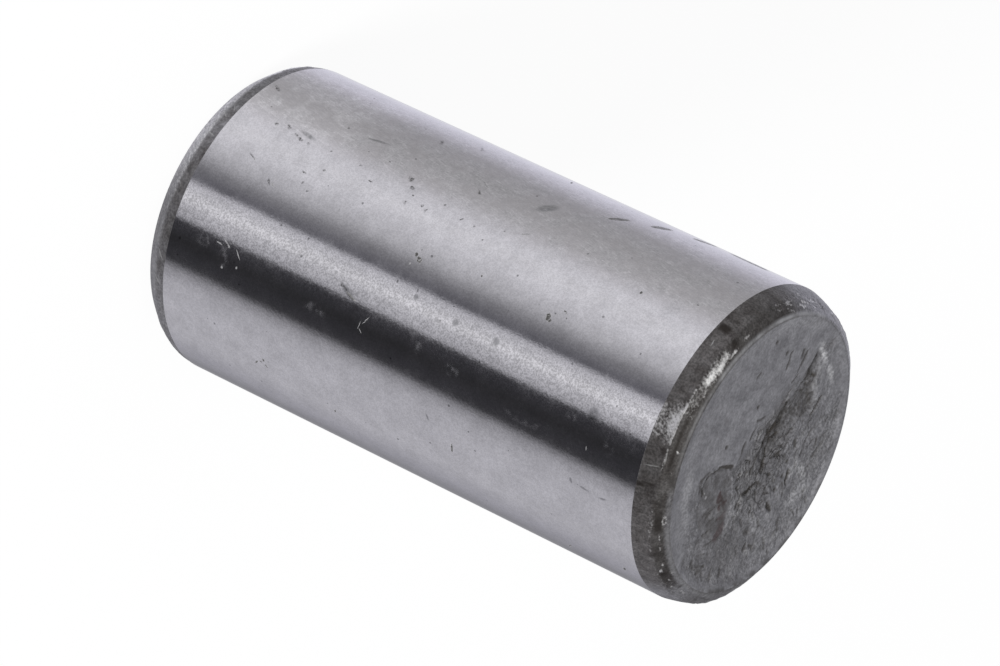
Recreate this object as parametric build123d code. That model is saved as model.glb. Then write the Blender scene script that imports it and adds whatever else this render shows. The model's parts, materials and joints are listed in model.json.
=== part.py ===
from build123d import *
import math
import os

# Locking pin: a short plain pin of hardened steel, cropped from bar, with a ground shank.
# The pin is one piece. Each end was squeezed in a die after cropping, which left a flat face, a rolled
# bevel and a slightly tapered lead; the shank between the leads was then ground to its fit. The sheared
# end got a flat bevel with a crisp corner, and the lower end a steeper one that rolls into a short lead.
# The upper face still carries the scar of the shear: a torn pocket that drops from a ledge across the
# middle of the face and climbs away from it, and the hollow of a smaller flake beside it.
# The pin stands on its lower end: the origin is the centre of that end, and Z runs up the axis.
# Lengths are in millimetres and angles in degrees.

# Shank and overall size
SHANK_DIAMETER = 12.0
PIN_LENGTH = 23.7

# Both ends: the edge of the grinding, from the end face, and the soft edge between bevel and end face
LEAD_LENGTH = 1.12
RIM_RADIUS = 0.2

# Upper end: how far the small end of its lead lies inside the ground size, its bevel, and the rolled
# corner between the two
UPPER_LEAD_DROP = 0.145
UPPER_BEVEL_HEIGHT = 0.35
UPPER_BEVEL_WIDTH = 0.535
UPPER_RIDGE_RADIUS = 0.25

# Lower end, by the same four sizes
LOWER_LEAD_DROP = 0.06
LOWER_BEVEL_HEIGHT = 0.62
LOWER_BEVEL_WIDTH = 0.51
LOWER_RIDGE_RADIUS = 0.8

# Depths of the scar below the upper face, at the deep edge and at the far edge of each pocket
LEDGE_DEPTH = 0.3
LEDGE_FAR_DEPTH = 0.06
FLAKE_DEPTH = 0.16
FLAKE_FAR_DEPTH = 0.04

# Headings of the deep edges about Z
LEDGE_HEADING = -8.5
FLAKE_HEADING = -49.0

# Plan of the scar, as shares of the radius of the upper face. Each pocket has the middle of its deep edge
# on the face, and an outline about that point: X runs along the deep edge, and Y the way the floor climbs.
LEDGE_MIDDLE_SHARES = (-0.3, 0.03)
LEDGE_OUTLINE_SHARES = (
    (-0.5, 0.06),
    (-0.25, 0.01),
    (0.0, -0.03),
    (0.3, -0.02),
    (0.5, 0.07),
    (0.4, 0.19),
    (0.14, 0.27),
    (-0.16, 0.27),
    (-0.45, 0.17),
)
FLAKE_MIDDLE_SHARES = (0.2, -0.45)
FLAKE_OUTLINE_SHARES = (
    (-0.15, 0.08),
    (-0.04, 0.0),
    (0.1, 0.01),
    (0.21, 0.09),
    (0.25, 0.25),
    (0.16, 0.42),
    (-0.01, 0.48),
    (-0.12, 0.35),
    (-0.17, 0.21),
)
TORN_FLOOR_SHARE = 0.88  # size of a pocket's floor, against its outline at the face

SHANK_RADIUS = SHANK_DIAMETER / 2
FACE_RADIUS = SHANK_RADIUS - UPPER_LEAD_DROP - UPPER_BEVEL_WIDTH  # of the upper face


def end_corners(lead_drop, bevel_height, bevel_width):
    """Corners of one end's section, as radii and heights above its face.

    They go out from the axis along the face, up the bevel and up the lead to the edge of the grinding.
    """
    lead_radius = SHANK_RADIUS - lead_drop
    return [
        (0, 0),
        (lead_radius - bevel_width, 0),
        (lead_radius, bevel_height),
        (SHANK_RADIUS, LEAD_LENGTH),
    ]


def pin_blank():
    """The pin before its scar: half of its section, turned about the axis.

    The section goes out and up round the lower end, along the ground shank, and in round the upper end.
    """
    lower_end = end_corners(LOWER_LEAD_DROP, LOWER_BEVEL_HEIGHT, LOWER_BEVEL_WIDTH)
    upper_corners = end_corners(UPPER_LEAD_DROP, UPPER_BEVEL_HEIGHT, UPPER_BEVEL_WIDTH)
    upper_end = [(radius, PIN_LENGTH - height) for radius, height in reversed(upper_corners)]
    section = FilletPolyline(
        *lower_end,
        *upper_end,
        radius=[RIM_RADIUS, LOWER_RIDGE_RADIUS, 0, 0, UPPER_RIDGE_RADIUS, RIM_RADIUS],
    )
    axis_line = Line(upper_end[-1], lower_end[0])
    return revolve(Plane.XZ * make_face(section + axis_line), axis=Axis.Z)


def torn_outline(outline_shares, size_share):
    """Closed smooth outline through shares of the face's radius, drawn larger or smaller about its middle."""
    middle = sum((Vector(*point) for point in outline_shares), Vector()) / len(outline_shares)
    grown = [middle + (Vector(*point) - middle) * size_share for point in outline_shares]
    return make_face(Spline(*[point * FACE_RADIUS for point in grown], periodic=True))


def torn_pocket(outline_shares, depth, far_depth):
    """Tool for one torn pocket, with the face of the pin at height zero.

    The floor is a flat one that lies the full depth down along the X axis and climbs to the far depth
    at the outline's far edge. The walls lean outwards from it, through the outline at the face.
    """
    run_out = max(along for across, along in outline_shares) * FACE_RADIUS
    climb = math.degrees(math.asin((depth - far_depth) / run_out))
    floor = Pos(0, 0, -depth) * Rot(climb, 0, 0) * torn_outline(outline_shares, TORN_FLOOR_SHARE)
    above_face = Pos(0, 0, depth) * torn_outline(outline_shares, 2 - TORN_FLOOR_SHARE)
    return loft([floor.face(), above_face.face()], ruled=True)


def on_upper_face(middle_shares, heading):
    """Place on the upper face, given as shares of its radius, and a heading about the axis."""
    across, along = middle_shares
    return Pos(across * FACE_RADIUS, along * FACE_RADIUS, PIN_LENGTH) * Rot(0, 0, heading)


def locking_pin():
    """The finished pin: the turned blank with both pockets of the scar torn out of its upper face."""
    ledge = torn_pocket(LEDGE_OUTLINE_SHARES, LEDGE_DEPTH, LEDGE_FAR_DEPTH)
    flake = torn_pocket(FLAKE_OUTLINE_SHARES, FLAKE_DEPTH, FLAKE_FAR_DEPTH)
    pin = pin_blank()
    pin -= on_upper_face(LEDGE_MIDDLE_SHARES, LEDGE_HEADING) * ledge
    pin -= on_upper_face(FLAKE_MIDDLE_SHARES, FLAKE_HEADING) * flake
    return pin


os.makedirs("parts", exist_ok=True)
export_step(locking_pin(), "parts/locking_pin.step")
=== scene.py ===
import json
import math

import bpy
import numpy as np
from mathutils import Matrix, Vector


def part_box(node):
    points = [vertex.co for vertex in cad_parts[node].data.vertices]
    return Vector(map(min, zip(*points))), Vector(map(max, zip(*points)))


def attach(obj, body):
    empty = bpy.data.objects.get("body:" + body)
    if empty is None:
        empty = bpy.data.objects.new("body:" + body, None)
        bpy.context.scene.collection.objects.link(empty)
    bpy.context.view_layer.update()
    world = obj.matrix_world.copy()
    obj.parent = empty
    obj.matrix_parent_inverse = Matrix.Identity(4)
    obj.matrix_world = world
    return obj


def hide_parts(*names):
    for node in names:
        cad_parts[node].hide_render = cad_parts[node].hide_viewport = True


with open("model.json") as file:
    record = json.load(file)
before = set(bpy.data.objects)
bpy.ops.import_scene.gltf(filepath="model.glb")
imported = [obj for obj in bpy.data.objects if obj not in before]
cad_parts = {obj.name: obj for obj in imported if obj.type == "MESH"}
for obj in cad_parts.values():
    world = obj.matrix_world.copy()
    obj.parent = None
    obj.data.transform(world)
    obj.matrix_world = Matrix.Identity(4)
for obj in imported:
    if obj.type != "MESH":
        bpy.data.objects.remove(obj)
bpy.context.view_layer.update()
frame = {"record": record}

# Pin blank
# A short length of hardened steel bar, cropped by shearing and squeezed in a die at both ends, so each end
# has a flat face, a rolled bevel and a slightly tapered lead. Its skin is one section carried round Z.
# Sizes are in millimetres here, and become metres where the mesh is filled.
MM = 0.001
pin_low, pin_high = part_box("locking_pin")
shank_mount = next(m for m in frame["record"]["mounts"] if m["name"] == "shank")
shank_radius = shank_mount["dims"]["r_mm"]
pin_length = (pin_high[2] - pin_low[2]) / MM
lead_length = (pin_length - shank_mount["dims"]["length_mm"]) / 2
upper_lead_drop = 0.145
upper_bevel_height = 0.35
upper_bevel_width = 0.535
upper_ridge_reach = 0.12  # how far the rolled corner runs along each side of it
lower_lead_drop = 0.06
lower_bevel_height = 0.62
lower_bevel_width = 0.51
lower_ridge_reach = 0.23
rim_reach = 0.08
edge_support = 0.015  # rows this close keep the ground edge crisp
face_radius = shank_radius - upper_lead_drop - upper_bevel_width
lower_face_radius = shank_radius - lower_lead_drop - lower_bevel_width
columns = 480
seam_turn = math.pi / 2  # the seam lies at the back


def rounded_corner(before, corner, after, reach, count):
    """Points on a quadratic curve round a corner, which starts and ends the reach away from it."""
    before, corner, after = (np.array(point, float) for point in (before, corner, after))
    start = corner + (before - corner) * reach / np.linalg.norm(before - corner)
    end = corner + (after - corner) * reach / np.linalg.norm(after - corner)
    s = np.linspace(0, 1, count)[:, None]
    return (1 - s) ** 2 * start + 2 * s * (1 - s) * corner + s**2 * end


def end_section(rim_radius, bevel_width, bevel_height, ridge_reach, bevel_rows, lead_rows):
    """Radius and depth below the end face, from the face's rim out round the bevel to the ground edge."""
    centre = (0, 0)
    rim = (rim_radius, 0)
    ridge = (rim_radius + bevel_width, bevel_height)
    ground_edge = (shank_radius, lead_length)
    rim_curve = rounded_corner(centre, rim, ridge, rim_reach, 5)
    ridge_curve = rounded_corner(rim, ridge, ground_edge, ridge_reach, 7)
    bevel = np.linspace(rim_curve[-1], ridge_curve[0], bevel_rows + 2)[1:-1]
    lead_slope = (shank_radius - ridge[0]) / (lead_length - bevel_height)
    lead_end = np.array(ground_edge) - edge_support * np.array((lead_slope, 1))
    lead = np.linspace(ridge_curve[-1], lead_end, lead_rows + 1)[1:]
    return np.vstack([rim_curve, bevel, ridge_curve, lead])


lower_sizes = (lower_face_radius, lower_bevel_width, lower_bevel_height, lower_ridge_reach)
upper_sizes = (face_radius, upper_bevel_width, upper_bevel_height, upper_ridge_reach)
lower_section = end_section(*lower_sizes, bevel_rows=4, lead_rows=8)
upper_section = end_section(*upper_sizes, bevel_rows=7, lead_rows=11)[::-1]
lower_rings = np.linspace(0, lower_face_radius - rim_reach, 10)[1:-1]
upper_rings = np.linspace(face_radius - rim_reach, 0, 104)[1:-1]
dent_rows = np.linspace(13.2, 14.4, 17)  # close together, to carry the dent
shank_height = np.concatenate(
    [
        [lead_length, lead_length + edge_support],
        np.linspace(lead_length, dent_rows[0], 14)[1:-1],
        dent_rows,
        np.linspace(dent_rows[-1], pin_length - lead_length, 10)[1:-1],
        [pin_length - lead_length - edge_support, pin_length - lead_length],
    ]
)
row_radius = np.concatenate(
    [
        lower_rings,
        lower_section[:, 0],
        np.full(len(shank_height), shank_radius),
        upper_section[:, 0],
        upper_rings,
    ]
)
row_height = np.concatenate(
    [
        np.zeros(len(lower_rings)),
        lower_section[:, 1],
        shank_height,
        pin_length - upper_section[:, 1],
        np.full(len(upper_rings), pin_length),
    ]
)
rows = len(row_radius)
first_shank_row = len(lower_rings) + len(lower_section)
last_shank_row = first_shank_row + len(shank_height) - 1
first_face_row = last_shank_row + len(upper_section)

turn = seam_turn + np.arange(columns) * (2 * math.pi / columns)
radius, angle = np.meshgrid(row_radius, turn, indexing="ij")
height = np.repeat(row_height[:, None], columns, axis=1)
plan_x = radius * np.cos(angle)
plan_y = radius * np.sin(angle)
bearing = np.degrees(np.arctan2(plan_y, plan_x))  # -90 faces the viewer

# Shear scar in the upper face
# Where the bar broke, the middle of the face stayed torn: a hollow drops from a ledge across the face, a
# flake has lifted beside it, and the broken grain is rough. The die smoothed only the ring round it.


def rise(low, high, value):
    """0 below low, 1 above high and an S-curve between them; low may be the larger."""
    t = np.clip((value - low) / (high - low), 0, 1)
    return t * t * (3 - 2 * t)


def stretch(low, high, soft, value):
    """1 between low and high, and an S-curve down to 0 over the soft length beyond each."""
    return rise(low - soft, low, value) * rise(high + soft, high, value)


def lattice_noise(x, y, size, seed):
    """Seeded random heights from -1 to 1 on a square lattice of a given size, blended by S-curves."""
    table = np.random.default_rng(seed).uniform(-1, 1, (64, 64))
    column, row = np.floor(x / size).astype(int), np.floor(y / size).astype(int)
    across, along = rise(0, 1, x / size - column), rise(0, 1, y / size - row)
    near = table[column % 64, row % 64] * (1 - across) + table[(column + 1) % 64, row % 64] * across
    far = table[column % 64, (row + 1) % 64] * (1 - across)
    far = far + table[(column + 1) % 64, (row + 1) % 64] * across
    return near * (1 - along) + far * along


def broken_grain(x, y, size, octaves, seed):
    """Sum of lattice noises, each half as coarse and a little over half as high as the one before."""
    return sum(0.6**k * lattice_noise(x, y, size / 2**k, seed + k) for k in range(octaves))


def facets(x, y, size, seed):
    """Broken facets: the nearest point of a jittered lattice sets each facet's own height and tilt.

    Gives the height, from about -1 to 1, and how far inside its facet's edge a point is, in sizes.
    """
    draw = np.random.default_rng(seed).uniform(-1, 1, (5, 64, 64))
    column, row = np.floor(x / size).astype(int), np.floor(y / size).astype(int)
    nearest = np.full(np.shape(x), np.inf)
    second = nearest
    level = np.zeros(np.shape(x))
    for across in (-1, 0, 1):
        for along in (-1, 0, 1):
            pick = ((column + across) % 64, (row + along) % 64)
            away_x = x / size - column - across - 0.5 - 0.45 * draw[0][pick]
            away_y = y / size - row - along - 0.5 - 0.45 * draw[1][pick]
            away = np.hypot(away_x, away_y)
            plane = 0.5 * draw[2][pick] + 0.7 * draw[3][pick] * away_x + 0.7 * draw[4][pick] * away_y
            second = np.minimum(second, np.maximum(away, nearest))
            level = np.where(away < nearest, plane, level)
            nearest = np.minimum(nearest, away)
    return level, second - nearest


def drawn_out(x, y, heading):
    """Coordinates along and across a heading in degrees, squeezed two to one along it."""
    turn_by = math.radians(heading)
    along = x * math.cos(turn_by) + y * math.sin(turn_by)
    return along / 2, y * math.cos(turn_by) - x * math.sin(turn_by)


def strokes(x, y, heading, size, seed):
    """Short strokes along a heading: the tops of a noise that is drawn out four to one along it."""
    along, across = drawn_out(x, y, heading)
    return rise(0.3, 0.85, broken_grain(along / 2, across, size, 2, seed))


def path_distance(x, y, path):
    """Distance from each point to the nearest straight stretch of a path."""
    nearest = np.full(np.shape(x), np.inf)
    for (x0, y0), (x1, y1) in zip(path[:-1], path[1:]):
        run_x, run_y = x1 - x0, y1 - y0
        share = np.clip(((x - x0) * run_x + (y - y0) * run_y) / (run_x**2 + run_y**2), 0, 1)
        nearest = np.minimum(nearest, np.hypot(x - x0 - share * run_x, y - y0 - share * run_y))
    return nearest


def beyond(path, x, y):
    """How far y lies beyond a path that is given from left to right."""
    return y - np.interp(x, *zip(*path))


# Paths, cracks and pits lie on the plane of the rim, with X to the right and Y away from the viewer.
ledge_path = [(-4.3, 0.85), (-3.5, 0.6), (-3.0, 0.57), (-2.1, 0.2), (-1.0, 0.05), (0.0, -0.1), (0.7, 0.0)]
torn_border = [
    (-5.3, 1.3), (-4.3, 0.8), (-2.0, 0.0), (-0.8, -0.9), (0.8, -1.4), (1.1, -2.6), (2.0, -3.05),
    (3.4, -2.75), (4.6, -1.7), (5.3, -0.9),
]
deep_cracks = [
    [(-4.0, 0.74), (-3.45, 0.5)],
    [(-3.05, 0.58), (-2.6, 0.38), (-2.1, 0.22)],
    [(-1.7, 0.06), (-1.2, 0.02), (-0.8, 0.12)],
    [(-0.95, 0.6), (-0.6, 0.28), (-0.1, 0.45), (0.5, 0.56)],
    [(-0.8, -0.2), (-0.3, -0.1), (0.2, -0.2), (0.85, -0.04)],
    [(1.05, 0.62), (1.45, 0.32), (1.6, 0.02), (2.1, 0.02)],
    [(0.85, -1.5), (0.9, -1.9), (1.05, -2.3), (1.4, -2.7), (1.95, -2.87), (2.15, -2.65)],
    [(0.1, 2.53), (0.5, 2.63)],
    [(1.45, 2.08), (1.62, 2.4)],
    [(-2.8, 2.38), (-2.4, 2.28), (-2.05, 2.08)],
]
fine_cracks = [
    [(1.35, -2.92), (1.75, -3.22)], [(0.93, 1.05), (0.98, 0.65)], [(-0.32, 2.62), (-0.2, 2.75)],
    [(-1.25, 1.35), (-1.02, 1.24)], [(-0.62, 1.36), (-0.56, 1.15)], [(1.18, 1.72), (1.24, 1.5)],
    [(1.46, 1.62), (1.55, 1.4)], [(2.63, -1.48), (2.95, -1.62)], [(2.45, -1.75), (2.85, -1.92)],
    [(3.05, -0.93), (3.2, -1.08), (3.42, -1.35)], [(2.72, -1.08), (3.05, -1.4)],
    [(2.75, -0.85), (2.95, -1.0)], [(-2.6, -2.58), (-2.3, -2.68)], [(-3.98, -0.14), (-3.25, -0.16)],
    [(-3.95, -0.42), (-3.6, -0.33)], [(-3.1, -0.02), (-2.75, -0.2)], [(-3.7, -1.15), (-3.1, -1.05)],
    [(-0.2, -1.45), (0.6, -1.3)], [(-1.2, -0.95), (-1.05, -1.3)],
    [(2.3, -1.35), (2.55, -1.6), (2.9, -1.7)], [(4.4, 0.35), (4.8, 0.6)], [(1.5, 1.15), (1.35, 0.85)],
    [(-0.8, -0.8), (-0.2, -0.72)], [(-0.9, -1.12), (-0.4, -1.2)], [(0.5, 4.05), (0.72, 4.35)],
    [(1.3, 4.05), (1.45, 4.4)], [(1.9, 3.3), (2.15, 3.65)], [(2.2, 3.45), (2.4, 3.5)],
    [(1.75, 3.35), (1.95, 3.55)], [(2.7, 3.0), (2.9, 3.2)], [(3.05, 2.2), (3.15, 2.5)],
    [(3.05, 1.95), (3.35, 2.05)], [(2.75, 1.7), (2.8, 1.5)], [(3.3, 1.3), (3.6, 1.65)],
    [(-1.8, 3.85), (-1.6, 3.75)], [(-1.4, 3.35), (-1.1, 3.42)], [(-1.75, 3.6), (-1.55, 3.55)],
    [(-0.95, 3.8), (-0.75, 3.7)], [(-1.0, 1.9), (-0.75, 2.05)], [(3.5, -0.6), (3.75, -0.9)],
    [(2.3, 0.35), (2.45, 0.1)], [(4.1, 0.9), (4.5, 1.1)],
]
pits = [
    (0.62, 1.72), (1.4, -0.5), (0.78, -0.36), (0.4, -0.45), (0.95, -0.75), (-3.6, -1.48), (-1.45, -1.7),
    (0.28, -2.55), (-3.77, -2.5), (0.9, 2.1), (0.35, 2.2), (0.5, 1.3), (1.0, 1.4), (-0.2, 2.05),
    (2.0, 1.1), (4.4, -0.3),
]
near_chips = [(2.17, -2.3, 0.1), (3.32, -1.98, 0.09), (2.05, -2.5, 0.06), (-1.9, -0.95, 0.05)]
flake_centre = (2.25, -1.6)
flake_heading = math.radians(41)
flake_half_length = 1.4
flake_half_width = 1.08
dish_depth = 0.07
roll_over_depth = 0.05
ledge_depth = 0.15
flake_depth = 0.08
grain_height = 0.04
torn_depth = 0.066  # mean depth of the broken grain
sight_slope = 1.72  # how far back a mark seen on the rim's plane lies for each millimetre it is sunk
left_wall = [(0.4, -4.5), (1.0, -4.3), (1.75, -3.97), (2.4, -3.66), (2.9, -3.4)]
far_wall = [(-4.0, 1.35), (-3.4, 1.5), (-3.0, 1.55), (-2.6, 1.9), (-2.3, 1.95), (-2.0, 1.6)]
low_band = [(1.2, -4.25), (2.05, -3.72), (2.6, -3.36), (3.1, -3.0), (3.7, -2.5)]


def roll_over(y, below):
    """The far side sank as the blade came through: the drop grows with y and dies out below the bevel."""
    return roll_over_depth * rise(0.8, face_radius, y) * rise(1.1, 0.3, below)


def scar_relief(x, y):
    """Depth of the upper face below its rim; how torn each point is; its dirt and painted shade; its wear and
    painted highlights; its bright chips; and its rust.

    The face is dished inside its rim and rolls over at the far side. Past the ledge it drops at once and
    climbs back, steeply at the left and slowly at the right, and a wall closes the hollow at the left. The
    flake is an oval hollow, deepest at its near end, with a low band in front of it. Broken grain, cracks
    and pits are added where the face is torn.
    """
    ring = np.hypot(x, y)
    inside_rim = rise(face_radius - rim_reach, face_radius - 0.5, ring)
    relief = -dish_depth * rise(face_radius - rim_reach, face_radius - 0.6, ring)
    relief = relief * rise(4.5, 1.0, y) - roll_over(y, 0)
    wander = broken_grain(x, y, 0.8, 3, 11)
    ragged = broken_grain(x, y, 0.3, 3, 17)
    torn = rise(-0.3, 0.4, beyond(torn_border, x, y) + 0.25 * wander) * inside_rim
    torn = torn * (1 - 0.65 * rise(-2.4, -3.6, x) * rise(1.2, 2.0, y))
    y = y + sight_slope * (relief - torn_depth * torn)

    # The ledge, and the hollow that it drops into
    past_ledge = beyond(ledge_path, x, y) - 0.05 * wander - 0.03 * ragged
    ledge_share = rise(-4.3, -3.3, x) * rise(1.0, -0.6, x)
    drop = rise(0.0, 0.1, past_ledge)
    at_left = rise(-1.3, -2.4, x)
    past_wall = beyond(far_wall, x, y) + 0.12 * ragged
    closed = rise(-0.6, 0.3, past_wall) * at_left + rise(0.3, 1.6, past_ledge) * (1 - at_left)
    hollow = ledge_share * drop * (1 - closed)
    relief -= ledge_depth * hollow

    # The walls that close the hollow, the low band and a smear
    right_of_wall = x - np.interp(y, *zip(*left_wall)) + 0.08 * ragged
    wall_share = stretch(0.7, 2.4, 0.5, y)
    foot = rise(-0.05, 0.2, right_of_wall) * rise(1.0, 0.25, right_of_wall)
    relief -= 0.05 * wall_share * foot
    far_share = stretch(-3.7, -2.3, 0.4, x)
    relief += 0.02 * far_share * rise(-0.2, 0.1, past_wall) * rise(0.7, 0.1, past_wall)
    past_band = 0.83 * beyond(low_band, x, y) + 0.03 * wander
    band_share = stretch(1.9, 3.3, 0.7, x)
    relief += 0.045 * band_share * rise(-0.36, 0.06, past_band) * rise(1.6, 0.3, past_band)
    smear = np.minimum(
        path_distance(x, y, [(-0.25, 2.95), (-0.2, 3.5), (-0.05, 3.7), (0.45, 4.1)]),
        np.hypot((x - 0.85) / 1.3, y - 3.5),
    )
    smear = rise(0.42, 0.1, smear + 0.2 * ragged + 0.12 * wander)
    relief += 0.02 * smear

    # The flake
    across, along = x - flake_centre[0], y - flake_centre[1]
    ahead = across * math.cos(flake_heading) + along * math.sin(flake_heading)
    aside = along * math.cos(flake_heading) - across * math.sin(flake_heading)
    oval = np.hypot(ahead / flake_half_length, aside / flake_half_width) + 0.05 * wander
    in_flake = rise(1.04, 0.93, oval)
    flake_slope = rise(flake_half_length * 0.8, -flake_half_length, ahead)
    relief -= flake_depth * in_flake * flake_slope

    # Broken grain, drawn out one way at the right and another at the left
    right_side = rise(-0.3, 0.8, x)
    grain = 0.35 * broken_grain(x, y, 0.22, 2, 41)
    seam = np.zeros_like(x)
    for heading, share, seed in ((62, right_side, 29), (-14, 1 - right_side, 37)):
        for size, part in ((0.75, 0.8), (0.26, 0.6)):
            level, inside = facets(*drawn_out(x, y, heading), size, seed)
            grain += share * part * level
            seam = np.maximum(seam, share * part * rise(0.14, 0.0, inside))
    smoother = 1 - 0.5 * in_flake
    relief -= grain_height * torn * smoother * np.maximum(0.9 + grain, 0)
    relief -= 0.03 * torn * (1 + broken_grain(x, y, 1.3, 2, 47))
    relief -= 0.005 * (1 + broken_grain(x, y, 0.5, 3, 53)) * inside_rim

    # Cracks and pits
    bent_x = x + 0.07 * lattice_noise(x, y, 0.3, 71)
    bent_y = y + 0.07 * lattice_noise(x, y, 0.3, 73)
    width = 0.03 * ragged
    deep = sum(rise(0.13, 0.04, path_distance(bent_x, bent_y, p) + width) for p in deep_cracks)
    fine = sum(rise(0.1, 0.02, path_distance(bent_x, bent_y, p) + width) for p in fine_cracks)
    pit = sum(rise(0.13, 0.04, np.hypot(x - px, y - py)) for px, py in pits)
    from_lip = np.abs(past_ledge + 0.04) + 0.05 * ragged
    ledge_line = rise(0.15, 0.05, from_lip) * stretch(-4.0, 0.5, 0.3, x)
    deep = np.maximum(deep, ledge_line * np.clip(0.85 + 0.6 * wander, 0.2, 1))
    deep, fine, pit = (np.clip(cut, 0, 1) for cut in (deep, fine, pit))
    relief -= 0.05 * deep + 0.025 * fine + 0.03 * pit

    # Dirt in the cracks, pits, seams and strokes, and painted shade in everything that is low
    sunk = ledge_share * drop * (rise(0.2, -0.3, past_wall) * at_left + (1 - closed) * (1 - at_left))
    # Painted shadow: the hollow behind the ledge is darkened as if the ledge shaded it, with its dirt.
    ledge_shadow_and_dirt = sunk * rise(0.7, -0.6, x) * (0.82 + 0.5 * broken_grain(x, y, 0.14, 2, 97))
    ledge_dirt = rise(1.0, 0.1, np.abs(past_ledge + 0.3)) * stretch(-2.0, 1.5, 1.0, x)
    ledge_dirt = ledge_dirt * (0.6 + 0.6 * wander)
    cleaner = 1 - 0.55 * rise(1.6, 3.2, y)
    # Painted shade: the low parts of the broken grain are darkened.
    low_shade = rise(0.1, -0.9, -grain) * torn * smoother * cleaner
    seam_dirt = seam * torn * rise(-0.2, 0.7, wander + ragged) * cleaner
    right_shade = 0.33 * rise(1.7, 0.3, np.hypot(x - 3.5, (y - 0.6) / 1.3))
    middle = rise(2.0, 0.8, np.hypot((x - 0.4) / 1.2, y - 0.35)) * torn
    middle_dirt = 0.3 * middle * np.clip(0.9 + 0.5 * ragged, 0, 1.3)
    fibres = strokes(x, y, -32, 0.13, 83) * hollow
    right_strokes = strokes(x, y, 52, 0.15, 87) * right_side + strokes(x, y, -16, 0.15, 89) * (1 - right_side)
    right_strokes = right_strokes * torn * smoother * rise(-0.5, 0.4, wander)
    relief -= 0.028 * right_strokes + 0.025 * fibres
    # The flake is made darker all over.
    flake_darkening = 0.42 * in_flake * np.clip(1 + 0.7 * ragged, 0, 1.5)
    far_rim = rise(face_radius - 0.3, face_radius - 0.1, ring)
    far_rim = far_rim * stretch(0.3, 5.3, 0.6, x) * rise(-0.5, 1.0, y)
    # Real dirt and painted shade are gathered into one darkening.
    dirt_and_shade_parts = [deep, 0.8 * fine, 0.9 * pit, 0.75 * ledge_shadow_and_dirt, 0.4 * ledge_dirt, 0.4 * low_shade]
    dirt_and_shade_parts += [0.75 * seam_dirt, right_shade, middle_dirt, 0.8 * fibres, 0.7 * right_strokes, flake_darkening]
    dirt_and_shade_parts += [0.7 * far_rim * rise(-0.3, 0.3, ragged)]
    filled = np.maximum.reduce(dirt_and_shade_parts)

    # Painted highlights on the walls of the hollow, the low band and the tops of the broken grain, and wear
    # on the smear
    chips = sum(rise(size, size * 0.3, np.hypot(x - cx, y - cy)) for cx, cy, size in near_chips)
    # Painted highlight on the left wall of the hollow, which faces the lamp.
    worn = 0.8 * wall_share * rise(-0.15, 0.04, right_of_wall) * rise(0.36, 0.08, right_of_wall)
    # Painted highlight on the far wall.
    worn = np.maximum(worn, 0.18 * far_share * stretch(-0.05, 0.3, 0.25, past_wall))
    # Painted highlight along the low band.
    worn = np.maximum(worn * (0.5 + 0.9 * ragged), 0.2 * band_share * stretch(-0.25, -0.05, 0.2, past_band))
    worn = np.maximum(worn, 0.42 * smear)
    # Lighter towards the far side of the face.
    worn = np.maximum(worn, 0.12 * rise(3.0, 3.8, y) * stretch(-2.2, 2.2, 1.0, x))
    # Painted highlights on the tops of the broken grain.
    worn = np.maximum(worn, 0.26 * torn * rise(0.1, 1.0, -grain) * smoother * (1 - sunk))
    worn = np.clip(worn, 0, 1)
    rubbed = np.clip(chips, 0, 1)

    # Rust: a spot and a trail in the flake, and two faint touches
    rust = 1.2 * rise(0.42, 0.05, np.hypot((x - 2.0) / 0.9, y + 1.2) + 0.16 * ragged)
    rust_trail = path_distance(x, y, [(2.05, -1.1), (2.35, -0.75), (2.8, -0.5), (3.25, -0.42)])
    rust += 0.7 * rise(0.32, 0.05, rust_trail + 0.12 * ragged + 0.08 * wander)
    rust += 0.45 * rise(0.2, 0.05, np.hypot(x + 2.0, y + 0.12))
    rust += 0.4 * rise(0.26, 0.05, np.hypot(x + 0.55, y + 3.4))
    rust = np.clip(rust, 0, 1.2)
    tearing = torn * smoother * (0.55 + 0.45 * middle)
    return relief, tearing, filled, worn, rubbed, rust


below_face = pin_length - height
upper_end = slice(last_shank_row + 1, first_face_row)
face = slice(first_face_row, rows)
torn, filled, worn, rubbed, rust = (np.zeros_like(height) for _ in range(5))
on_face = plan_x[face], plan_y[face]
relief, torn[face], filled[face], worn[face], rubbed[face], rust[face] = scar_relief(*on_face)
height[face] += relief
height[upper_end] -= roll_over(plan_y[upper_end], below_face[upper_end])
pole = [value[0] for value in scar_relief(np.zeros(1), np.zeros(1))]

# Knocks on the bevel and the lead
# The pins were tumbled together, so the corner between bevel and lead is beaten and rubbed bright in places,
# and dark scale stays in the corners. A run of 0 is the rim, 1 the corner and 2 the ground edge.
depth = np.minimum(below_face, height)
at_bottom = height < below_face
corner_depth = np.where(at_bottom, lower_bevel_height, upper_bevel_height)
bevel_width = upper_bevel_width  # the lower bevel is nearly as wide
on_bevel = (radius - np.where(at_bottom, lower_face_radius, face_radius)) / bevel_width
on_lead = 1 + (depth - corner_depth) / (lead_length - corner_depth)
run = np.where(depth < corner_depth, np.minimum(on_bevel, 1), on_lead)
arc = np.radians(bearing + 90) * shank_radius
lower_end = slice(len(lower_rings), first_shank_row)
end_rows = np.zeros_like(height)
end_rows[upper_end] = 1
end_rows[lower_end] = 1
run_length = 0.7  # millimetres of skin to one unit of run, about the mean of bevel and lead
noise_arc = arc + 40  # shifted to a part of the noise that lays the knocks as the photograph has them
noise_run = run * run_length + 9


def strip(middle, half, value):
    """A soft strip: 1 at the middle, about a third at half the width from it."""
    return np.exp(-(((value - middle) / half) ** 2))


def around(low, high, soft):
    """1 between two bearings, and an S-curve down to 0 over the soft angle beyond each."""
    return stretch(low, high, soft, bearing)


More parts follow.
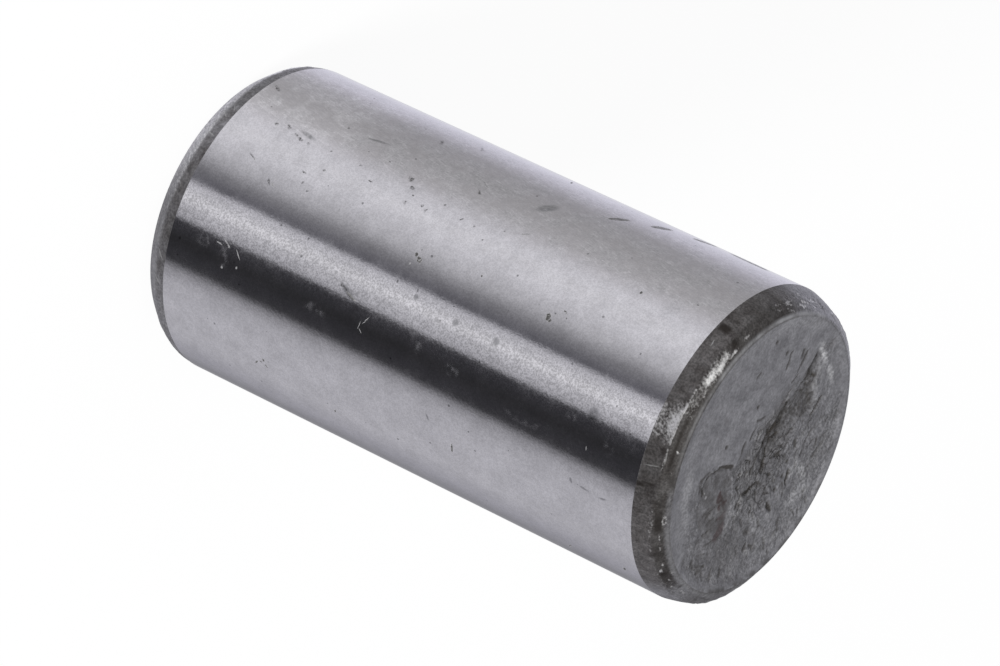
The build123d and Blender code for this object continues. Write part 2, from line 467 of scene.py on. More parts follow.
def chip(at_bearing, at_run, length, width):
    """Distance from a chip's middle, as a share of its half length round the pin and half width along it."""
    away_round = np.radians(bearing - at_bearing) * shank_radius
    return np.hypot(away_round / length, (run - at_run) * run_length / width)


knock = broken_grain(noise_arc, noise_run, 0.5, 3, 61)
speckle = broken_grain(noise_arc, run * run_length + 3, 0.2, 2, 67)
battered = rise(-138, -155, bearing) + rise(105, 135, bearing)
battered += 0.4 * around(-12, 5, 16) + 0.8 * around(15, 80, 15)
battered_strip = strip(0.7, 0.6, run)

# Rubbed bright steel with painted highlights on it: a slanting scrape on the bevel and the corner line,
# and a mottled painted highlight on the lead below them.
# A chip is its bearing, its run, half its length, half its width and how bright it is.
scrape = around(-117, -104, 2.5) * strip(0.62, 0.28, run) * (0.95 + 0.5 * knock)
# Painted highlight: a mottled bright patch on the lead, in place of the lamp's glint.
mottled_highlight = strip(-87, 6, bearing) * stretch(1.08, 2.0, 0.08, run)
mottled_highlight_share = 0.32 + 0.56 * rise(1.6, 1.1, run) + 0.12 * rise(1.7, 2, run)
ring_chip = chip(-50.2, 0.28, 0.17, 0.075)
bright_and_highlight_parts = [
    0.72 * scrape,
    0.2 * around(-114, -93, 6) * stretch(0.4, 1.0, 0.15, run),
    0.4 * strip(0.42, 0.05, run) * around(-106, -92, 2) * (0.9 + speckle),
    # Painted highlight along the corner line.
    0.9 * strip(1.03, 0.06, run) * around(-94, -81, 2) * (0.85 + 0.4 * speckle),
    0.4 * strip(1.0, 0.06, run) * around(-100, -71.5, 3),
    0.19 * strip(1.1, 0.09, run) * around(-53, -33, 4) * (0.9 + 0.6 * knock),
    mottled_highlight * mottled_highlight_share,
    0.22 * strip(1.0, 0.12, run) * rise(0.0, 0.8, knock + speckle),
    0.55 * strip(1.0, 0.4, ring_chip),
    0.55 * battered * battered_strip * strokes(noise_arc, noise_run, 20, 0.1, 91),
]
bright_chips = [
    (-120.2, 0.4, 0.2, 0.055, 1.0), (-112.0, 0.5, 0.3, 0.12, 0.9), (-106.5, 0.6, 0.3, 0.12, 0.85),
    (-128.0, 0.5, 0.2, 0.07, 0.4), (-77.7, 0.38, 0.05, 0.08, 0.75), (-69.5, 0.4, 0.06, 0.05, 0.3),
    (-59.0, 0.77, 0.06, 0.05, 0.4), (-57.2, 0.8, 0.06, 0.05, 0.35), (-43.0, 0.54, 0.18, 0.03, 0.45),
    (-37.5, 0.54, 0.16, 0.03, 0.45), (-46.5, 1.6, 0.06, 0.04, 0.4), (-29.0, 0.57, 0.1, 0.05, 0.6),
    (-26.2, 0.77, 0.1, 0.06, 1.0), (-22.5, 0.2, 0.2, 0.07, 0.35), (-19.3, 0.58, 0.08, 0.05, 0.5),
    (-13.5, 0.62, 0.16, 0.03, 0.4), (-6.5, 0.42, 0.2, 0.08, 0.5), (-81.5, 1.7, 0.05, 0.2, 0.6),
    (-155.0, 0.98, 0.22, 0.07, 0.45), (-164.5, 1.3, 0.14, 0.1, 0.4),
]
for *place_and_size, share in bright_chips:
    bright_and_highlight_parts.append(share * rise(1.4, 0.4, chip(*place_and_size)))
bright_and_highlight = np.clip(np.maximum.reduce(bright_and_highlight_parts) * end_rows, 0, 1)
bright_and_highlight[:first_shank_row] *= 0.2
# The rubbed share carries the bright steel and the painted highlights together.
rubbed = np.maximum(rubbed, bright_and_highlight)
# Painted highlight: a thin light line along the rim of the face, and a faint lighter band inside it.
rim_highlight = around(-175, -116, 10) + 0.35 * around(-42, 10, 10)
rim_highlight += 0.3 * rise(-116, -106, bearing) * rise(-60, -85, bearing)
rim_highlight = rim_highlight * (0.85 + 0.4 * knock) * (below_face < 0.1)
worn = np.maximum(worn, strip(face_radius + 0.03, 0.075, radius) * rim_highlight)
worn = np.maximum(worn, 0.14 * strip(face_radius - 0.3, 0.3, radius) * rim_highlight)

# Dark scale: in the hollow inside the corner, in a few spots, and in the beaten stretch at the right.
dark_parts = [
    0.22 * around(-150, -20, 12) * rise(1.1, 0.85, run) * (1 + 0.6 * knock),
    0.55 * strip(0.22, 0.1, run) * around(-150, -85, 8),
    0.85 * strip(0.6, 0.16, run) * around(-93, -73, 4),
    0.75 * around(-53, -47, 4) * stretch(0.45, 0.8, 0.1, run),
    0.65 * around(-35, -16, 4) * stretch(0.35, 0.85, 0.1, run) * (0.8 + 0.7 * knock),
    0.9 * battered * battered_strip * strokes(noise_arc, noise_run, 14, 0.12, 93),
]
dark_chips = [
    (-125.0, 1.66, 0.24, 0.22, 1.0), (-122.3, 0.74, 0.2, 0.15, 0.9), (-129.5, 1.6, 0.1, 0.3, 0.5),
    (-77.0, 1.2, 0.16, 0.1, 0.7), (-64.5, 1.45, 0.07, 0.2, 0.8), (-63.3, 1.8, 0.07, 0.18, 0.8),
    (-11.5, 0.25, 0.07, 0.16, 0.9), (-50.2, 0.28, 0.08, 0.04, 0.8),
]
for *place_and_size, share in dark_chips:
    dark_parts.append(share * rise(1.3, 0.5, chip(*place_and_size) + 0.3 * speckle))
dark = np.maximum.reduce(dark_parts)
dark[:first_shank_row] *= 0.3
filled = np.maximum(filled, np.clip(dark, 0, 1) * end_rows)

# Painted reflection of the white floor on the lower end's rolled bevel and the sides of its lead, and how
# much
# scale each end keeps: the lower end keeps less, so that it is painted lighter.
lower_reflection = rise(1.3, 0.95, run) * around(-175, -25, 20)
lower_reflection = lower_reflection * (1 - 0.6 * rise(-105, -80, bearing))
lower_side_reflection = rise(-128, -160, bearing) + rise(150, 178, bearing) + around(-14, 25, 24)
lower_side_reflection = lower_side_reflection * rise(1.3, 1.0, run)
lower_rubbed_and_reflection = np.maximum.reduce([rubbed, 0.4 * lower_reflection, lower_side_reflection])
worn[lower_end] = np.clip(lower_reflection * (0.75 + 0.3 * knock), 0, 1)[lower_end]
rubbed[lower_end] = lower_rubbed_and_reflection[lower_end]
# Painted light: the lower end keeps less scale, so that it reads lighter.
scaled = 0.45 - 0.12 * around(-140, -110, 12)
grey_rim = around(-58, -10, 8) * rise(0.4, 0.1, run)
# The upper end is darker over its far side, from bearing 5 to 85.
upper_scaled = around(-152, -22, 16) * (1 - 0.75 * grey_rim) + 0.6 * around(5, 85, 15)
lower_scale_and_light = scaled + (0.3 * around(-100, -62, 12) + 0.25 * knock) * (run > 1)
scaled[upper_end] = upper_scaled[upper_end]
scaled[lower_end] = lower_scale_and_light[lower_end]

# Beaten form: the left side of the upper corner is rolled in, and the corners are knocked and cratered.
rolled = 0.16 * rise(40, 0, np.abs(np.abs(bearing) - 180))
rolled[: last_shank_row + 1] = 0
radius = radius - rolled * end_rows * strip(0.95, 0.55, run)
beaten = end_rows * strip(1.0, 0.45, run) * (0.5 + 0.5 * np.clip(knock + 0.5 * speckle, -1, 1))
radius = radius - (0.02 + 0.035 * battered) * beaten
crater = end_rows * (rise(1.0, 0.3, ring_chip) + strip(0.6, 0.12, run) * around(-93, -16, 5))
radius = radius - 0.015 * crater

# Dent in the shank
# A lens-shaped knock above the middle of the left side, slanting across the grinding.
dent_bearing = -140.0
dent_height = 13.8
dent_heading = math.radians(-39)
dent_half = (0.5, 0.17)
dent_depth = 0.012
dent_arc = arc - math.radians(dent_bearing + 90) * shank_radius
dent_rise = height - dent_height
dent_along = dent_arc * math.cos(dent_heading) + dent_rise * math.sin(dent_heading)
dent_across = dent_rise * math.cos(dent_heading) - dent_arc * math.sin(dent_heading)
dent_share = rise(1.0, 0.2, np.hypot(dent_along / dent_half[0], dent_across / dent_half[1]))
radius = radius - dent_depth * dent_share

# Put the skin together
# The rows of the section are joined into one closed skin with its faces outwards.
point_grid = np.stack([radius * np.cos(angle), radius * np.sin(angle), height], axis=-1)
lower_pole = rows * columns
upper_pole = lower_pole + 1
points = np.vstack([point_grid.reshape(-1, 3), [(0, 0, 0), (0, 0, pin_length + pole[0])]])
index = np.arange(rows * columns).reshape(rows, columns)
beside = np.roll(index, -1, axis=1)
quads = np.stack([index[:-1], beside[:-1], beside[1:], index[1:]], axis=-1).reshape(-1, 4)
lower_fan = np.stack([np.full(columns, lower_pole), beside[0], index[0]], axis=-1)
upper_fan = np.stack([np.full(columns, upper_pole), index[-1], beside[-1]], axis=-1)
pin_mesh = bpy.data.meshes.new("locking_pin_skin")
pin_mesh.from_pydata(points * MM, [], quads.tolist() + lower_fan.tolist() + upper_fan.tolist())
pin_mesh.shade_smooth()
for name, grid, at_pole in (
    ("torn", torn, pole[1]),
    ("filled", filled, pole[2]),
    ("worn", worn, pole[3]),
    ("rubbed", rubbed, pole[4]),
    ("rust", rust, pole[5]),
    ("scaled", scaled, 0),
):
    mask = pin_mesh.attributes.new(name, "FLOAT", "POINT")
    mask.data.foreach_set("value", np.concatenate([grid.ravel(), [0, at_pole]]).astype(np.float32))
pin = bpy.data.objects.new("locking_pin_skin", pin_mesh)
bpy.context.scene.collection.objects.link(pin)

# Finish of the shank
# Bright steel, ground all over between the leads to a fine grain, with the nicks, pits and smudges of use.


def place(tree, kind, inputs=None, **settings):
    """New node in a tree; inputs maps each socket to a value or to another node's output."""
    node = tree.nodes.new(kind)
    for name, value in settings.items():
        setattr(node, name, value)
    for socket, value in (inputs or {}).items():
        if isinstance(value, bpy.types.NodeSocket):
            tree.links.new(value, node.inputs[socket])
        else:
            node.inputs[socket].default_value = value
    return node


def new_finish(name):
    """Material with one Principled shader, its tree, the shader, and Object coordinates in millimetres."""
    material = bpy.data.materials.new(name)
    material.use_nodes = True
    tree = material.node_tree
    tree.nodes.clear()
    shader = place(tree, "ShaderNodeBsdfPrincipled")
    place(tree, "ShaderNodeOutputMaterial", {"Surface": shader.outputs["BSDF"]})
    coordinates = place(tree, "ShaderNodeTexCoord").outputs["Object"]
    scaled = place(tree, "ShaderNodeMapping", {"Vector": coordinates, "Scale": (1 / MM,) * 3})
    return material, tree, shader, scaled.outputs["Vector"]


def new_group(name, inputs, outputs):
    """Shader node group with named sockets: its tree, its inputs and the node that takes its outputs."""
    tree = bpy.data.node_groups.new(name, "ShaderNodeTree")
    for socket, kind in inputs.items():
        tree.interface.new_socket(socket, in_out="INPUT", socket_type=kind)
    for socket, kind in outputs.items():
        tree.interface.new_socket(socket, in_out="OUTPUT", socket_type=kind)
    return tree, place(tree, "NodeGroupInput").outputs, place(tree, "NodeGroupOutput")


def use(tree, group, inputs):
    """A group placed in a tree; gives its outputs."""
    return place(tree, "ShaderNodeGroup", inputs, node_tree=group).outputs


def connect(tree, node, inputs):
    """Link outputs to a node's inputs by name."""
    for socket, value in inputs.items():
        tree.links.new(value, node.inputs[socket])


def between(tree, value, low, high, to_low=0.0, to_high=1.0):
    """A value carried from one range to another along an S-curve."""
    inputs = {"Value": value, "From Min": low, "From Max": high, "To Min": to_low, "To Max": to_high}
    return place(tree, "ShaderNodeMapRange", inputs, interpolation_type="SMOOTHSTEP").outputs[0]


def reckon(tree, operation, first, second=0.0):
    """One step of arithmetic with two numbers."""
    return place(tree, "ShaderNodeMath", {0: first, 1: second}, operation=operation).outputs[0]


def times(tree, first, second):
    """Product of two numbers."""
    return reckon(tree, "MULTIPLY", first, second)


def plus(tree, first, second):
    """Sum of two numbers."""
    return reckon(tree, "ADD", first, second)


def reckon_vector(tree, operation, first, second):
    """One step of arithmetic with two vectors."""
    return place(tree, "ShaderNodeVectorMath", {0: first, 1: second}, operation=operation).outputs[0]


def turned(tree, vector, angle):
    """A vector turned about Z by an angle in radians."""
    inputs = {"Vector": vector, "Angle": angle}
    return place(tree, "ShaderNodeVectorRotate", inputs, rotation_type="Z_AXIS").outputs[0]


def blend(tree, share, first, second, blend_type="MIX"):
    """Two colours mixed by a share."""
    inputs = {0: share, 6: first, 7: second}
    return place(tree, "ShaderNodeMix", inputs, data_type="RGBA", blend_type=blend_type).outputs[2]


def mixed_colour(tree, red, green, blue):
    """Colour from three numbers."""
    inputs = {"Red": red, "Green": green, "Blue": blue}
    return place(tree, "ShaderNodeCombineColor", inputs).outputs["Color"]


def noise(tree, where, scale, detail=2.0, output="Fac"):
    """Cloud noise with a number of patches to the millimetre."""
    inputs = {"Vector": where, "Scale": scale, "Detail": detail}
    return place(tree, "ShaderNodeTexNoise", inputs).outputs[output]


def bumped(tree, level, distance):
    """Normal bent by a level, with a distance in millimetres to one unit of it."""
    inputs = {"Height": level, "Strength": 1.0, "Distance": distance * MM}
    return place(tree, "ShaderNodeBump", inputs).outputs["Normal"]


# The side unrolled: how far round the pin from the viewer's side, and how high, in millimetres.
unrolled, given, result = new_group(
    "unrolled", {"Where": "NodeSocketVector", "Radius": "NodeSocketFloat"}, {"Surface": "NodeSocketVector"}
)
apart = place(unrolled, "ShaderNodeSeparateXYZ", {"Vector": given["Where"]}).outputs
towards = times(unrolled, apart["Y"], -1.0)
way_round = times(unrolled, reckon(unrolled, "ARCTAN2", apart["X"], towards), given["Radius"])
flat = place(unrolled, "ShaderNodeCombineXYZ", {"X": way_round, "Y": apart["Z"]})
unrolled.links.new(flat.outputs["Vector"], result.inputs["Surface"])

# One nick: a ragged oval of a given half length and half width, turned to its heading.
nick, given, result = new_group(
    "nick",
    {
        "Surface": "NodeSocketVector",
        "Place": "NodeSocketVector",
        "Turn": "NodeSocketFloat",
        "Size": "NodeSocketVector",
    },
    {"Mask": "NodeSocketFloat"},
)
offset = reckon_vector(nick, "SUBTRACT", given["Surface"], given["Place"])
shrunk = reckon_vector(nick, "DIVIDE", turned(nick, offset, given["Turn"]), given["Size"])
reach = place(nick, "ShaderNodeVectorMath", {0: shrunk}, operation="LENGTH")
nick.links.new(between(nick, reach.outputs["Value"], 1.0, 0.35), result.inputs["Mask"])


def gather_nicks(tree, surface, marks):
    """Strongest of many nicks; a mark is a bearing, height, half length, half width and heading."""
    strongest = None
    for at_bearing, at_height, half_length, half_width, heading in marks:
        inputs = {
            "Surface": surface,
            "Place": (math.radians(at_bearing + 90) * shank_radius, at_height, 0),
            "Turn": -math.radians(heading),
            "Size": (half_length, half_width, 1),
        }
        mask = use(tree, nick, inputs)["Mask"]
        strongest = mask if strongest is None else reckon(tree, "MAXIMUM", strongest, mask)
    return strongest


def ragged_surface(tree, where, amount):
    """The unrolled side, shifted a little by noise so that nicks get ragged edges."""
    surface = use(tree, unrolled, {"Where": where, "Radius": shank_radius})["Surface"]
    stray = reckon_vector(tree, "SUBTRACT", noise(tree, where, 7.0, 2.0, "Color"), (0.5,) * 3)
    return reckon_vector(tree, "ADD", surface, reckon_vector(tree, "MULTIPLY", stray, (amount,) * 3))


def band(tree, arc_round, middle, half, core, share=1.0):
    """Soft band along the shank, full over its core, by millimetres round from the viewer's side."""
    away = reckon(tree, "ABSOLUTE", reckon(tree, "SUBTRACT", arc_round, middle))
    return between(tree, away, half, core, 0.0, share)


dark_marks = [
    (-101.0, 16.92, 0.2, 0.13, 20), (-100.2, 17.05, 0.1, 0.07, 0), (-99.8, 11.2, 0.22, 0.12, 60),
    (-101.0, 11.0, 0.12, 0.08, 40), (-123.3, 19.35, 0.08, 0.07, 0), (-105.0, 17.4, 0.13, 0.05, 70),
    (-104.0, 13.75, 0.05, 0.05, 0), (-168.0, 12.75, 0.26, 0.05, 25), (-42.0, 14.6, 0.28, 0.06, 0),
    (-31.0, 9.05, 0.12, 0.06, -30), (-39.5, 5.85, 0.1, 0.06, 20), (-38.2, 5.72, 0.07, 0.05, 0),
    (-37.0, 5.5, 0.16, 0.05, -40), (-37.2, 5.95, 0.12, 0.04, 30), (-20.0, 21.85, 0.2, 0.08, -20),
    (-16.0, 19.3, 0.25, 0.06, -20),
]
lens_marks = [
    (-153.0, 16.0, 0.55, 0.15, -41), (-162.5, 17.2, 0.6, 0.22, -32), (-171.0, 18.55, 0.65, 0.28, -43),
    (-172.5, 20.4, 1.2, 0.3, 86), (-78.7, 9.3, 0.34, 0.05, 70),
]
faint_marks = [
    (-120.1, 9.42, 0.07, 0.06, 0), (-116.2, 9.34, 0.1, 0.06, -30), (-125.6, 8.84, 0.2, 0.13, 60),
    (-122.5, 9.14, 0.16, 0.1, 60), (-117.9, 10.0, 0.08, 0.06, 0), (-116.9, 10.24, 0.14, 0.06, 0),
    (-119.6, 11.64, 0.12, 0.06, -30), (-119.2, 12.24, 0.07, 0.06, 0), (-122.6, 13.36, 0.08, 0.06, 0),
    (-144.6, 13.02, 0.12, 0.07, 0), (-133.2, 11.32, 0.22, 0.06, 50), (-149.9, 8.2, 0.3, 0.09, 30),
    (-158.8, 9.34, 0.3, 0.09, 40), (-114.1, 5.75, 0.08, 0.07, 0), (-106.8, 5.33, 0.09, 0.07, 0),
    (-104.9, 5.7, 0.06, 0.05, 0), (-110.4, 5.1, 0.12, 0.06, 85), (-118.0, 7.6, 0.14, 0.05, 80),
    (-122.0, 6.8, 0.1, 0.05, 60), (-123.9, 3.3, 0.16, 0.08, 60), (-122.4, 3.8, 0.12, 0.07, 70),
    (-121.2, 4.05, 0.16, 0.08, 70), (-120.9, 4.45, 0.12, 0.07, 60), (-123.0, 2.8, 0.12, 0.06, 110),
    (-107.9, 2.85, 0.18, 0.05, 60), (-101.9, 4.12, 0.18, 0.05, 50), (-80.4, 8.9, 0.32, 0.06, 62),
    (-78.6, 9.3, 0.36, 0.07, 70), (-138.0, 1.5, 0.28, 0.09, 60),
]
grey_marks = [
    (-140.4, 13.82, 0.56, 0.28, -39), (-140.4, 13.82, 0.4, 0.14, -39), (-79.6, 9.1, 0.46, 0.18, 65),
    (-78.5, 20.2, 0.34, 0.3, 0), (-86.0, 15.5, 0.22, 0.2, 0), (-86.0, 13.7, 0.2, 0.18, 0),
    (-88.0, 11.8, 0.16, 0.14, 0), (-124.0, 4.2, 0.5, 0.12, 80), (-50.0, 13.5, 0.2, 0.06, 30),
    (-52.8, 19.9, 0.16, 0.07, 20), (-52.0, 20.5, 0.3, 0.06, 84), (-51.5, 21.3, 0.24, 0.06, 100),
    (-135.0, 6.5, 0.6, 0.08, 100),
]
light_marks = [
    (-125.0, 14.1, 0.24, 0.05, -55), (-138.0, 11.2, 0.44, 0.04, 62), (-97.3, 10.95, 0.06, 0.05, 0),
    (-101.6, 4.3, 0.16, 0.035, 50), (-107.2, 3.0, 0.16, 0.03, 62), (-76.5, 3.62, 0.24, 0.03, 62),
    (-74.6, 4.2, 0.26, 0.03, 40), (-70.1, 4.28, 0.06, 0.05, 0), (-68.0, 3.65, 0.07, 0.06, 0),
    (-75.5, 3.3, 0.18, 0.04, 85), (-75.9, 3.7, 0.1, 0.04, 40), (-73.3, 10.2, 0.26, 0.016, -30),
    (-70.8, 9.98, 0.22, 0.02, -12), (-69.1, 10.08, 0.14, 0.02, 50), (-66.5, 20.3, 0.08, 0.024, 20),
]
scuff_marks = [
    (-70.5, 21.2, 0.5, 0.35, 0), (-74.0, 19.4, 0.3, 0.35, 0), (-66.0, 17.5, 0.3, 1.2, 0),
    (-70.5, 14.2, 0.3, 0.5, 0), (-72.5, 12.6, 0.35, 0.3, 30), (-71.0, 3.6, 0.6, 0.35, 20),
    (-74.0, 2.6, 0.3, 0.5, 0), (-69.0, 8.0, 0.3, 0.8, 0),
]
glint_band_arc = 0.85  # millimetres round from the viewer's side to a band of painted glints, where the grain's tone swings wider
glint_band_half = 1.2
left_glint_band_arc = -7.1  # a fainter one on the left
dirty_arc = -5.4  # middle of a scratched and smeared stretch
dirty_half = 2.6
ground_steel, tree, shader, where = new_finish("ground_steel")
grain = noise(tree, where, 8.0, 3.0)
fine_grain = noise(tree, where, 17.0, 2.0)
cloud = noise(tree, where, 1.1, 6.0)
surface = ragged_surface(tree, where, 0.06)
apart = place(tree, "ShaderNodeSeparateXYZ", {"Vector": surface}).outputs
arc_round = apart["X"]
dark_nicks = gather_nicks(tree, surface, dark_marks)
dark_nicks = times(tree, dark_nicks, between(tree, fine_grain, 0.36, 0.52, 0.25, 1.0))
dark_nicks = between(tree, dark_nicks, 0.1, 0.55)
lens_nicks = between(tree, gather_nicks(tree, surface, lens_marks), 0.1, 0.6)
lens_nicks = times(tree, lens_nicks, between(tree, grain, 0.3, 0.7, 0.95, 0.65))
light_nicks = gather_nicks(tree, surface, light_marks)
grey_nicks = gather_nicks(tree, surface, grey_marks)
faint_nicks = gather_nicks(tree, ragged_surface(tree, where, 0.2), faint_marks)
faint_nicks = times(tree, faint_nicks, between(tree, fine_grain, 0.4, 0.6, 0.2, 1.0))
dust = noise(tree, where, 3.2, 4.0)
dirty = band(tree, arc_round, dirty_arc, dirty_half, 0.5 * dirty_half)
slanted = turned(tree, surface, math.radians(-76))
slanted = place(tree, "ShaderNodeMapping", {"Vector": slanted, "Scale": (2.4, 15.0, 1.0)}).outputs["Vector"]
scratches = times(tree, between(tree, noise(tree, slanted, 1.0, 3.0), 0.5, 0.68), dirty)
scuffs = gather_nicks(tree, surface, scuff_marks)
scuffs = times(tree, scuffs, between(tree, noise(tree, where, 4.0, 4.0), 0.35, 0.7))
scatter = place(tree, "ShaderNodeTexVoronoi", {"Vector": surface, "Scale": 1.5}, voronoi_dimensions="2D")
rare = place(tree, "ShaderNodeSeparateColor", {"Color": scatter.outputs["Color"]}).outputs["Red"]
pit_size = between(tree, rare, 0.8, 1.0, 0.0, 0.07)
small_pits = reckon(tree, "LESS_THAN", scatter.outputs["Distance"], pit_size)
# Painted glints: in two bands where bright panels are mirrored, the grain's tone swings further, lighter and
# darker.
glint_band = band(tree, arc_round, glint_band_arc, glint_band_half, 0.4 * glint_band_half)
left_glint_band = band(tree, arc_round, left_glint_band_arc, glint_band_half, 0.4 * glint_band_half, 0.35)
glint_band = reckon(tree, "MAXIMUM", glint_band, left_glint_band)
tint_low = between(tree, glint_band, 0.0, 1.0, 0.535, 0.455)
tint_high = between(tree, glint_band, 0.0, 1.0, 0.645, 0.745)
mixed_grain = plus(tree, grain, times(tree, fine_grain, 2.0))
grain_tint = between(tree, mixed_grain, 1.1, 1.9, tint_low, tint_high)
cloud_tint = between(tree, cloud, 0.3, 0.7, 0.94, 1.05)
tone = times(tree, grain_tint, cloud_tint)
dust_light = between(tree, dirty, 0.0, 1.0, 1.035, 1.07)
dust_dark = between(tree, dirty, 0.0, 1.0, 0.965, 0.93)
tone = times(tree, tone, between(tree, dust, 0.3, 0.7, dust_light, dust_dark))
tone = times(tree, tone, between(tree, scratches, 0.0, 1.0, 1.0, 1.17))
# Painted light: in the smeared stretch the shank is lighter towards its lower end.
painted_light_low = times(tree, dirty, between(tree, apart["Y"], 4.4, 6.8, 0.24, 0.0))
tone = times(tree, tone, plus(tree, painted_light_low, 1.0))
green = times(tree, tone, between(tree, dirty, 0.0, 1.0, 0.987, 0.98))
colour = mixed_colour(tree, tone, green, tone)
smeared = times(tree, dirty, between(tree, cloud, 0.42, 0.6, 0.0, 0.5))
colour = blend(tree, smeared, colour, (0.5, 0.481, 0.491, 1))
grey_share = times(tree, grey_nicks, between(tree, grain, 0.3, 0.6, 0.4, 0.85))
colour = blend(tree, grey_share, colour, (0.27, 0.27, 0.275, 1))
colour = blend(tree, times(tree, small_pits, 0.6), colour, (0.08, 0.08, 0.08, 1))
colour = blend(tree, lens_nicks, colour, (0.06, 0.058, 0.056, 1))
colour = blend(tree, times(tree, faint_nicks, 0.95), colour, (0.09, 0.088, 0.085, 1))
colour = blend(tree, times(tree, dark_nicks, 0.97), colour, (0.024, 0.023, 0.021, 1))
colour = blend(tree, times(tree, light_nicks, 0.7), colour, (0.2, 0.2, 0.2, 1))
roughness = between(tree, cloud, 0.3, 0.7, 0.07, 0.11)
roughness = plus(tree, roughness, times(tree, light_nicks, 0.4))
roughness = plus(tree, roughness, times(tree, scuffs, 0.2))
roughness = plus(tree, roughness, between(tree, dust, 0.5, 0.75, 0.0, 0.06))
sunk_nicks = reckon(tree, "MAXIMUM", dark_nicks, lens_nicks)
roughness = plus(tree, roughness, times(tree, sunk_nicks, 0.3))
matt = reckon(tree, "MAXIMUM", times(tree, light_nicks, 0.35), times(tree, sunk_nicks, 0.95))
level = reckon(tree, "SUBTRACT", grain, times(tree, dark_nicks, 0.4))
level = plus(tree, level, times(tree, fine_grain, 0.4))
level = plus(tree, level, cloud)
metallic = reckon(tree, "SUBTRACT", 1.0, matt)
connect(tree, shader, {"Base Color": colour, "Metallic": metallic, "Roughness": roughness})
connect(tree, shader, {"Normal": bumped(tree, level, 0.0014)})

# Finish of the leads and bevels
# Dark scale from hardening, left where the grinding did not reach, and rubbed through to bright steel;
# painted highlights along the rim and corner and painted reflections of the floor at the lower end lighten
# it.

# Rubbed flecks: the rubbed and painted-highlight share of the skin broken up by fine noise.
flecks, given, result = new_group(
    "flecks", {"Where": "NodeSocketVector", "Rubbed": "NodeSocketFloat"}, {"Mask": "NodeSocketFloat"}
)
side = use(flecks, unrolled, {"Where": given["Where"], "Radius": shank_radius})["Surface"]
slanted = turned(flecks, side, math.radians(-42))
slanted = place(flecks, "ShaderNodeMapping", {"Vector": slanted, "Scale": (3.0, 10.0, 1.0)}).outputs["Vector"]
streaks = noise(flecks, slanted, 1.0, 3.0)
broken = plus(flecks, streaks, noise(flecks, given["Where"], 12.0, 3.0))
broken = reckon(flecks, "SUBTRACT", broken, 1.0)
broken = times(flecks, broken, between(flecks, given["Rubbed"], 0.0, 0.25, 0.0, 1.05))
broken = plus(flecks, given["Rubbed"], broken)
flecks.links.new(between(flecks, broken, 0.08, 1.0), result.inputs["Mask"])


def skin_masks(tree, *names):
    """The skin's own masks by name."""
    return [place(tree, "ShaderNodeAttribute", attribute_name=name).outputs["Fac"] for name in names]


def two_tones(tree, value, low, low_colour, high, high_colour):
    """Colour that goes from one to another as a value goes from low to high."""
    node = place(tree, "ShaderNodeValToRGB", {"Fac": value})
    for element, position, colour in zip(node.color_ramp.elements, (low, high), (low_colour, high_colour)):
        element.position = position
        element.color = (*colour, 1)
    return node.outputs["Color"]


scratch_marks = [
    (-70.9, 22.98, 0.38, 0.03, 101), (-75.1, 23.355, 0.34, 0.03, 4), (-117.7, 22.87, 0.18, 0.03, 10),
    (-118.0, 0.75, 0.3, 0.025, 50), (-121.5, 0.9, 0.24, 0.025, 35), (-109.0, 0.8, 0.3, 0.03, 75),
    (-62.0, 0.85, 0.3, 0.05, 40), (-52.0, 0.8, 0.26, 0.05, 50),
]
die_scale, tree, shader, where = new_finish("die_scale")
dirt_and_shade_share, rubbed_and_highlight_share, scale_and_light_share, wear_and_highlight_share = skin_masks(tree, "filled", "rubbed", "scaled", "worn")
bare_and_highlight = use(tree, flecks, {"Where": where, "Rubbed": rubbed_and_highlight_share})["Mask"]
blotch = noise(tree, where, 2.2, 6.0)
grit = noise(tree, where, 12.0, 3.0)
lead_scratches = gather_nicks(tree, ragged_surface(tree, where, 0.03), scratch_marks)
drawn = place(tree, "ShaderNodeMapping", {"Vector": where, "Scale": (5.0, 5.0, 0.9)}).outputs["Vector"]
draw_lines = noise(tree, drawn, 1.4, 3.0)
tone = two_tones(tree, blotch, 0.33, (0.07, 0.064, 0.061), 0.68, (0.13, 0.124, 0.121))
# The scale share is lower at the lower end, where it is painted lighter.
colour = blend(tree, scale_and_light_share, (0.24, 0.238, 0.248, 1), tone)
speck = between(tree, grit, 0.3, 0.7, 0.7, 1.3)
speck = times(tree, speck, between(tree, draw_lines, 0.3, 0.7, 0.88, 1.12))
speck = mixed_colour(tree, speck, speck, speck)
colour = blend(tree, 1.0, colour, speck, "MULTIPLY")
colour = blend(tree, dirt_and_shade_share, colour, (0.028, 0.024, 0.021, 1))
# Painted highlight along the rim and painted reflection at the lower end.
colour = blend(tree, wear_and_highlight_share, colour, (0.4, 0.4, 0.41, 1))
colour = blend(tree, times(tree, lead_scratches, 0.6), colour, (0.4, 0.4, 0.39, 1))
# Rubbed bright steel and painted highlights.
colour = blend(tree, bare_and_highlight, colour, (0.86, 0.85, 0.84, 1))
metallic = between(tree, bare_and_highlight, 0.0, 1.0, 0.82, 1.0)
roughness = between(tree, bare_and_highlight, 0.0, 1.0, 0.4, 0.28)
level = plus(tree, grit, times(tree, blotch, 1.5))
level = plus(tree, level, times(tree, bare_and_highlight, 0.4))
connect(tree, shader, {"Base Color": colour, "Metallic": metallic, "Roughness": roughness})
connect(tree, shader, {"Normal": bumped(tree, level, 0.02)})

